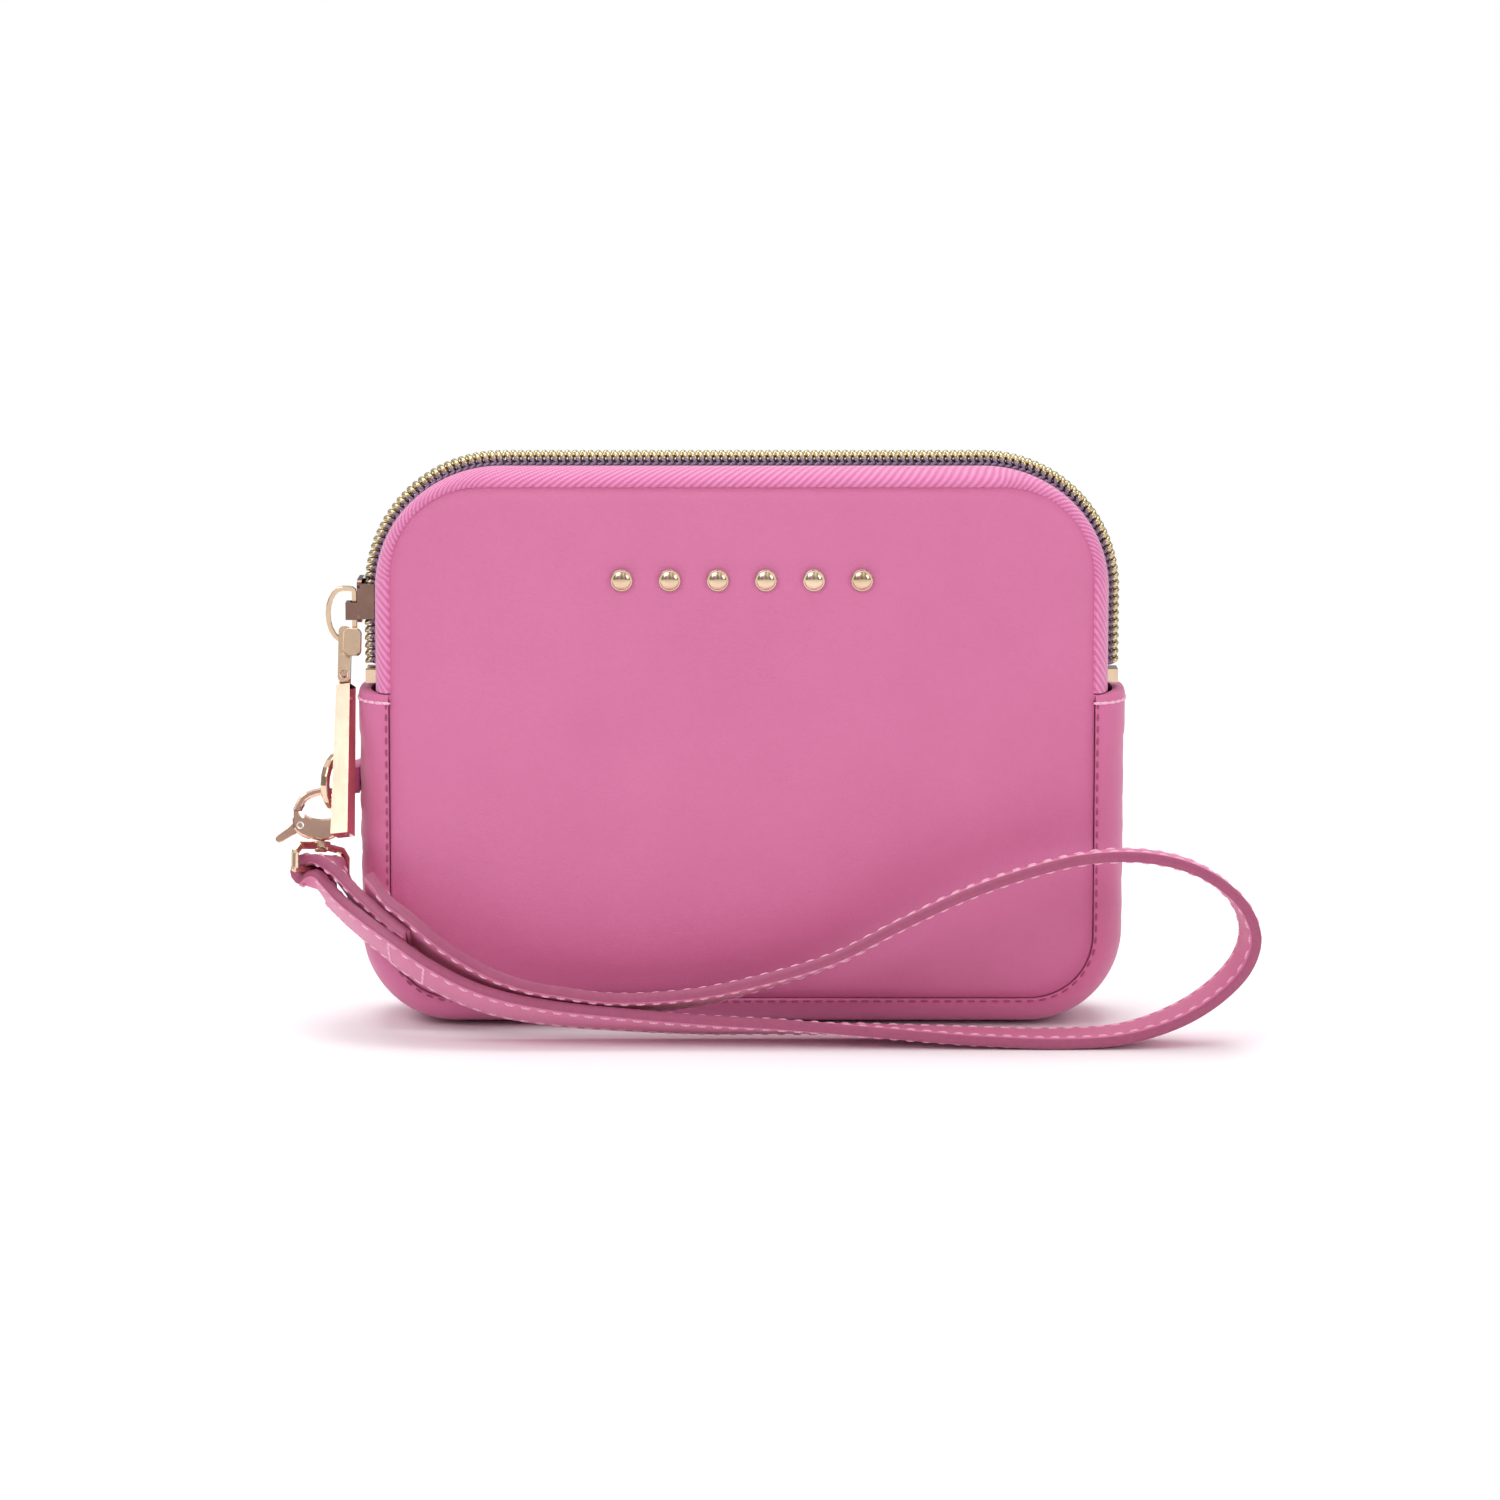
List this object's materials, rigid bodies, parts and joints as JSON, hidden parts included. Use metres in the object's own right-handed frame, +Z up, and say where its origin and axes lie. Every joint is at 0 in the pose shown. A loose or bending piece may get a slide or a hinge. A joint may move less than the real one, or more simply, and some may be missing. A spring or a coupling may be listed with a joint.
{
  "type": "wristlet wallet",
  "caption": "Small zip-round wristlet wallet in pink leather with pale gold hardware, a bar zip pull and a leather wrist strap clipped to a side ring",
  "frame": {"origin": "middle of the flat underside the wallet stands on", "axes": "+Z up, front of the wallet towards -Y, width along X with the strap clipped at -X"},
  "size_m": [0.1913, 0.0506, 0.1125],
  "materials": {
    "panel_leather": "fine-grained pink leather with a soft sheen",
    "gusset_leather": "fine-grained pink leather, faintly wrinkled",
    "strap_leather": "pink leather strap with painted edges and pale stitching",
    "zip_tape": "woven pink zip tape",
    "pale_gold": "polished pale gold plating",
    "rose_gold": "polished rose gold plating",
    "lining_cloth": "plain woven lining",
    "fibre_board": "grey-brown stiffening board",
    "spring_steel": "bare spring wire"
  },
  "bodies": {
    "root": {"rear_panel": "panel_leather", "rear_stiffener": "fibre_board", "rear_lining": "lining_cloth", "slip_pocket": "lining_cloth", "rear_tape": "zip_tape", "rear_coil": "pale_gold", "front_coil_held": "pale_gold", "top_stop_front": "pale_gold", "top_stop_rear": "pale_gold", "bottom_stop": "pale_gold", "gusset": "gusset_leather", "gusset_lining": "lining_cloth", "attachment_tab": "gusset_leather"},
    "front": {"front_panel": "panel_leather", "front_stiffener": "fibre_board", "front_lining": "lining_cloth", "card_slot_rear": "panel_leather", "card_slot_front": "panel_leather", "front_tape": "zip_tape", "front_coil": "pale_gold", "ornament_stud_1": "pale_gold", "ornament_stud_2": "pale_gold", "ornament_stud_3": "pale_gold", "ornament_stud_4": "pale_gold", "ornament_stud_5": "pale_gold", "ornament_stud_6": "pale_gold"},
    "slider": {"slider_body": "rose_gold"},
    "pull_ring_link": {"pull_ring": "pale_gold"},
    "shackle": {"pull_shackle": "pale_gold", "pull_pin": "rose_gold"},
    "pull": {"pull_bar": "rose_gold"},
    "d_ring": {"attachment_ring": "pale_gold"},
    "clasp": {"clasp_body": "rose_gold", "gate_pin": "pale_gold", "gate_spring": "spring_steel", "swivel_post": "rose_gold"},
    "gate": {"clasp_gate": "rose_gold"},
    "swivel_ring": {"strap_ring": "pale_gold"},
    "strap": {"strap_outer_ply": "strap_leather", "strap_inner_ply": "strap_leather"}
  },
  "joints": [
    {"name": "front_open", "type": "hinge", "parent": "root", "child": "front", "pos_m": [0, -0.015, 0.0063], "axis": [1, 0, 0], "range_deg": [0, 6]},
    {"name": "zip_slide", "type": "slide", "parent": "root", "child": "slider", "axis": [0, 0, 1], "range_m": [-0.004, 0]},
    {"name": "pull_ring_turn", "type": "hinge", "parent": "slider", "child": "pull_ring_link", "pos_m": [-0.07605, 0, 0.0802], "axis": [0, 0, -1], "range_deg": [0, 10]},
    {"name": "pull_lift", "type": "hinge", "parent": "pull_ring_link", "child": "shackle", "pos_m": [-0.07795, 0, 0.0751], "axis": [-1, 0, 0], "range_deg": [0, 10]},
    {"name": "pull_swing", "type": "hinge", "parent": "shackle", "child": "pull", "pos_m": [-0.07795, -0.00321, 0.06821], "axis": [0, 0.9063, -0.4226], "range_deg": [0, 60]},
    {"name": "d_ring_swing", "type": "hinge", "parent": "root", "child": "d_ring", "pos_m": [-0.0775, -0.0015, 0.0476], "axis": [0, 0, -1], "range_deg": [0, 15]},
    {"name": "clasp_swing", "type": "hinge", "parent": "d_ring", "child": "clasp", "pos_m": [-0.0801, -0.006, 0.04286], "axis": [-0.5, -0.866, 0], "range_deg": [0, 5]},
    {"name": "gate_open", "type": "hinge", "parent": "clasp", "child": "gate", "pos_m": [-0.0866, -0.00691, 0.03923], "axis": [0, 0.9613, -0.2756], "range_deg": [0, 20], "stiffness_Nm_per_rad": 0.002},
    {"name": "swivel_turn", "type": "hinge", "parent": "clasp", "child": "swivel_ring", "pos_m": [-0.0826, -0.00793, 0.03567], "axis": [0, -0.2756, -0.9613], "range_deg": [0, 8]},
    {"name": "strap_lift", "type": "hinge", "parent": "swivel_ring", "child": "strap", "pos_m": [-0.0826, -0.00941, 0.03053], "axis": [-0.5736, -0.7874, 0.2258], "range_deg": [0, 5]}
  ]
}
